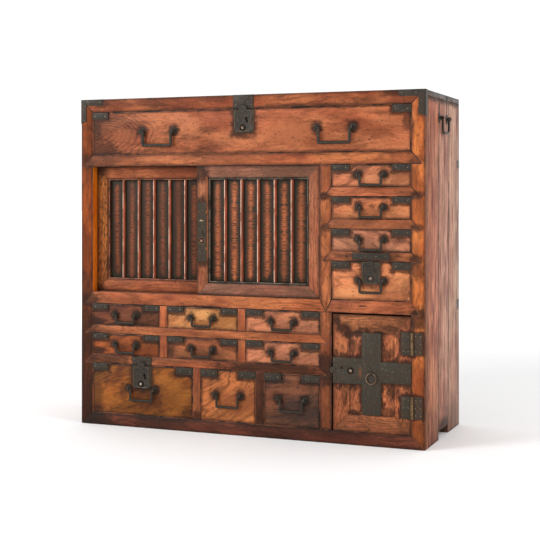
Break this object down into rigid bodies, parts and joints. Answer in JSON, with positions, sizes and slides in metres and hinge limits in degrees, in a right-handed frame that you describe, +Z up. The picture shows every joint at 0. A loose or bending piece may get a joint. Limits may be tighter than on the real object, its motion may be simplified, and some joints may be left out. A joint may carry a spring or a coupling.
{
  "type": "merchant's chest with drawers",
  "caption": "Framed wooden merchant's chest with hand-forged iron: bail-handled drawers, a pair of sliding doors and a small locked hinged door.",
  "frame": {"origin": "middle of the case's footprint, on the floor", "axes": "+X to the right as seen from the front, -Y out of the front, +Z up"},
  "size_m": [0.8836, 0.3368, 0.789],
  "materials": {
    "case_wood": "lacquered zelkova, worn",
    "side_wood": "faded and dry",
    "softwood": "planed, unfinished",
    "drawer_wood": "lacquered zelkova, worn",
    "iron": "hand-forged, blackened and rubbed"
  },
  "bodies": {
    "case": {"left_side_boards": "side_wood", "right_side_boards": "side_wood", "top_boards": "side_wood", "bottom_boards": "softwood", "back_boards": "softwood", "partitions": "softwood", "shelves": "softwood", "drawer_guides": "softwood", "left_stile": "case_wood", "right_stile": "case_wood", "centre_stile": "case_wood", "top_rail": "case_wood", "long_rail": "case_wood", "bottom_rail": "case_wood", "left_rails": "case_wood", "right_rails": "case_wood", "dividers": "case_wood", "case_hinge_leaves": "iron", "case_irons": "iron"},
    "wide_drawer": {"wide_drawer": "drawer_wood"},
    "right_drawer_1": {"right_drawer_1": "drawer_wood"},
    "right_drawer_2": {"right_drawer_2": "drawer_wood"},
    "right_drawer_3": {"right_drawer_3": "drawer_wood"},
    "right_drawer_4": {"right_drawer_4": "drawer_wood"},
    "small_drawer_1": {"small_drawer_1": "drawer_wood"},
    "small_drawer_2": {"small_drawer_2": "drawer_wood"},
    "small_drawer_3": {"small_drawer_3": "drawer_wood"},
    "small_drawer_4": {"small_drawer_4": "drawer_wood"},
    "small_drawer_5": {"small_drawer_5": "drawer_wood"},
    "small_drawer_6": {"small_drawer_6": "drawer_wood"},
    "bottom_drawer_1": {"bottom_drawer_1": "drawer_wood"},
    "bottom_drawer_2": {"bottom_drawer_2": "drawer_wood"},
    "bottom_drawer_3": {"bottom_drawer_3": "drawer_wood"},
    "left_sliding_door": {"left_sliding_door": "case_wood"},
    "right_sliding_door": {"right_sliding_door": "case_wood"},
    "hinged_door": {"hinged_door": "case_wood", "door_irons": "iron"},
    "wide_drawer_bolt": {"wide_drawer_bolt": "iron"},
    "right_drawer_4_bolt": {"right_drawer_4_bolt": "iron"},
    "bottom_drawer_1_bolt": {"bottom_drawer_1_bolt": "iron"},
    "sliding_door_latch": {"sliding_door_latch": "iron"},
    "hinged_door_bolt": {"hinged_door_bolt": "iron"},
    "wide_drawer_left_handle": {"wide_drawer_left_handle": "iron"},
    "wide_drawer_right_handle": {"wide_drawer_right_handle": "iron"},
    "right_drawer_1_handle": {"right_drawer_1_handle": "iron"},
    "right_drawer_2_handle": {"right_drawer_2_handle": "iron"},
    "right_drawer_3_handle": {"right_drawer_3_handle": "iron"},
    "right_drawer_4_handle": {"right_drawer_4_handle": "iron"},
    "small_drawer_1_handle": {"small_drawer_1_handle": "iron"},
    "small_drawer_2_handle": {"small_drawer_2_handle": "iron"},
    "small_drawer_3_handle": {"small_drawer_3_handle": "iron"},
    "small_drawer_4_handle": {"small_drawer_4_handle": "iron"},
    "small_drawer_5_handle": {"small_drawer_5_handle": "iron"},
    "small_drawer_6_handle": {"small_drawer_6_handle": "iron"},
    "bottom_drawer_1_handle": {"bottom_drawer_1_handle": "iron"},
    "bottom_drawer_2_handle": {"bottom_drawer_2_handle": "iron"},
    "bottom_drawer_3_handle": {"bottom_drawer_3_handle": "iron"},
    "left_side_handle": {"left_side_handle": "iron"},
    "right_side_handle": {"right_side_handle": "iron"},
    "ring_pull": {"ring_pull": "iron"}
  },
  "joints": [
    {"name": "wide_drawer_slide", "type": "slide", "parent": "case", "child": "wide_drawer", "axis": [0, -1, 0], "range_m": [0, 0.24]},
    {"name": "right_drawer_1_slide", "type": "slide", "parent": "case", "child": "right_drawer_1", "axis": [0, -1, 0], "range_m": [0, 0.24]},
    {"name": "right_drawer_2_slide", "type": "slide", "parent": "case", "child": "right_drawer_2", "axis": [0, -1, 0], "range_m": [0, 0.24]},
    {"name": "right_drawer_3_slide", "type": "slide", "parent": "case", "child": "right_drawer_3", "axis": [0, -1, 0], "range_m": [0, 0.24]},
    {"name": "right_drawer_4_slide", "type": "slide", "parent": "case", "child": "right_drawer_4", "axis": [0, -1, 0], "range_m": [0, 0.24]},
    {"name": "small_drawer_1_slide", "type": "slide", "parent": "case", "child": "small_drawer_1", "axis": [0, -1, 0], "range_m": [0, 0.24]},
    {"name": "small_drawer_2_slide", "type": "slide", "parent": "case", "child": "small_drawer_2", "axis": [0, -1, 0], "range_m": [0, 0.24]},
    {"name": "small_drawer_3_slide", "type": "slide", "parent": "case", "child": "small_drawer_3", "axis": [0, -1, 0], "range_m": [0, 0.24]},
    {"name": "small_drawer_4_slide", "type": "slide", "parent": "case", "child": "small_drawer_4", "axis": [0, -1, 0], "range_m": [0, 0.24]},
    {"name": "small_drawer_5_slide", "type": "slide", "parent": "case", "child": "small_drawer_5", "axis": [0, -1, 0], "range_m": [0, 0.24]},
    {"name": "small_drawer_6_slide", "type": "slide", "parent": "case", "child": "small_drawer_6", "axis": [0, -1, 0], "range_m": [0, 0.24]},
    {"name": "bottom_drawer_1_slide", "type": "slide", "parent": "case", "child": "bottom_drawer_1", "axis": [0, -1, 0], "range_m": [0, 0.24]},
    {"name": "bottom_drawer_2_slide", "type": "slide", "parent": "case", "child": "bottom_drawer_2", "axis": [0, -1, 0], "range_m": [0, 0.24]},
    {"name": "bottom_drawer_3_slide", "type": "slide", "parent": "case", "child": "bottom_drawer_3", "axis": [0, -1, 0], "range_m": [0, 0.24]},
    {"name": "left_sliding_door_slide", "type": "slide", "parent": "case", "child": "left_sliding_door", "axis": [1, 0, 0], "range_m": [0, 0.2789]},
    {"name": "right_sliding_door_slide", "type": "slide", "parent": "case", "child": "right_sliding_door", "axis": [-1, 0, 0], "range_m": [0, 0.2789]},
    {"name": "hinged_door_hinge", "type": "hinge", "parent": "case", "child": "hinged_door", "pos_m": [0.4016, -0.1668, 0.1298], "axis": [0, 0, 1], "range_deg": [0, 170]},
    {"name": "wide_drawer_bolt_slide", "type": "slide", "parent": "wide_drawer", "child": "wide_drawer_bolt", "axis": [0, 0, 1], "range_m": [0, 0.004]},
    {"name": "right_drawer_4_bolt_slide", "type": "slide", "parent": "right_drawer_4", "child": "right_drawer_4_bolt", "axis": [0, 0, 1], "range_m": [0, 0.004]},
    {"name": "bottom_drawer_1_bolt_slide", "type": "slide", "parent": "bottom_drawer_1", "child": "bottom_drawer_1_bolt", "axis": [0, 0, 1], "range_m": [0, 0.004]},
    {"name": "sliding_door_latch_slide", "type": "slide", "parent": "right_sliding_door", "child": "sliding_door_latch", "axis": [0, 0, 1], "range_m": [0, 0.004]},
    {"name": "hinged_door_bolt_slide", "type": "slide", "parent": "hinged_door", "child": "hinged_door_bolt", "axis": [-1, 0, 0], "range_m": [0, 0.004]},
    {"name": "wide_drawer_left_handle_swing", "type": "hinge", "parent": "wide_drawer", "child": "wide_drawer_left_handle", "pos_m": [-0.222, -0.1687, 0.70975], "axis": [-1, 0, 0], "range_deg": [0, 110]},
    {"name": "wide_drawer_right_handle_swing", "type": "hinge", "parent": "wide_drawer", "child": "wide_drawer_right_handle", "pos_m": [0.222, -0.1687, 0.70975], "axis": [-1, 0, 0], "range_deg": [0, 110]},
    {"name": "right_drawer_1_handle_swing", "type": "hinge", "parent": "right_drawer_1", "child": "right_drawer_1_handle", "pos_m": [0.3068, -0.1682, 0.6032], "axis": [-1, 0, 0], "range_deg": [0, 110]},
    {"name": "right_drawer_2_handle_swing", "type": "hinge", "parent": "right_drawer_2", "child": "right_drawer_2_handle", "pos_m": [0.3068, -0.1682, 0.5312], "axis": [-1, 0, 0], "range_deg": [0, 110]},
    {"name": "right_drawer_3_handle_swing", "type": "hinge", "parent": "right_drawer_3", "child": "right_drawer_3_handle", "pos_m": [0.3068, -0.1682, 0.4592], "axis": [-1, 0, 0], "range_deg": [0, 110]},
    {"name": "right_drawer_4_handle_swing", "type": "hinge", "parent": "right_drawer_4", "child": "right_drawer_4_handle", "pos_m": [0.3068, -0.1682, 0.36845], "axis": [-1, 0, 0], "range_deg": [0, 110]},
    {"name": "small_drawer_1_handle_swing", "type": "hinge", "parent": "small_drawer_1", "child": "small_drawer_1_handle", "pos_m": [-0.30798, -0.1682, 0.2688], "axis": [-1, 0, 0], "range_deg": [0, 110]},
    {"name": "small_drawer_2_handle_swing", "type": "hinge", "parent": "small_drawer_2", "child": "small_drawer_2_handle", "pos_m": [-0.10595, -0.1682, 0.2688], "axis": [-1, 0, 0], "range_deg": [0, 110]},
    {"name": "small_drawer_3_handle_swing", "type": "hinge", "parent": "small_drawer_3", "child": "small_drawer_3_handle", "pos_m": [0.09608, -0.1682, 0.2688], "axis": [-1, 0, 0], "range_deg": [0, 110]},
    {"name": "small_drawer_4_handle_swing", "type": "hinge", "parent": "small_drawer_4", "child": "small_drawer_4_handle", "pos_m": [-0.30798, -0.1682, 0.1971], "axis": [-1, 0, 0], "range_deg": [0, 110]},
    {"name": "small_drawer_5_handle_swing", "type": "hinge", "parent": "small_drawer_5", "child": "small_drawer_5_handle", "pos_m": [-0.10595, -0.1682, 0.1971], "axis": [-1, 0, 0], "range_deg": [0, 110]},
    {"name": "small_drawer_6_handle_swing", "type": "hinge", "parent": "small_drawer_6", "child": "small_drawer_6_handle", "pos_m": [0.09608, -0.1682, 0.1971], "axis": [-1, 0, 0], "range_deg": [0, 110]},
    {"name": "bottom_drawer_1_handle_swing", "type": "hinge", "parent": "bottom_drawer_1", "child": "bottom_drawer_1_handle", "pos_m": [-0.2642, -0.1682, 0.09245], "axis": [-1, 0, 0], "range_deg": [0, 110]},
    {"name": "bottom_drawer_2_handle_swing", "type": "hinge", "parent": "bottom_drawer_2", "child": "bottom_drawer_2_handle", "pos_m": [-0.03945, -0.1682, 0.09165], "axis": [-1, 0, 0], "range_deg": [0, 110]},
    {"name": "bottom_drawer_3_handle_swing", "type": "hinge", "parent": "bottom_drawer_3", "child": "bottom_drawer_3_handle", "pos_m": [0.1188, -0.1682, 0.09165], "axis": [-1, 0, 0], "range_deg": [0, 110]},
    {"name": "left_side_handle_swing", "type": "hinge", "parent": "case", "child": "left_side_handle", "pos_m": [-0.4367, 0, 0.733], "axis": [0, 1, 0], "range_deg": [0, 110]},
    {"name": "right_side_handle_swing", "type": "hinge", "parent": "case", "child": "right_side_handle", "pos_m": [0.4367, 0, 0.733], "axis": [0, -1, 0], "range_deg": [0, 110]},
    {"name": "ring_pull_swing", "type": "hinge", "parent": "hinged_door", "child": "ring_pull", "pos_m": [0.3084, -0.1672, 0.162], "axis": [-1, 0, 0], "range_deg": [0, 110]}
  ]
}
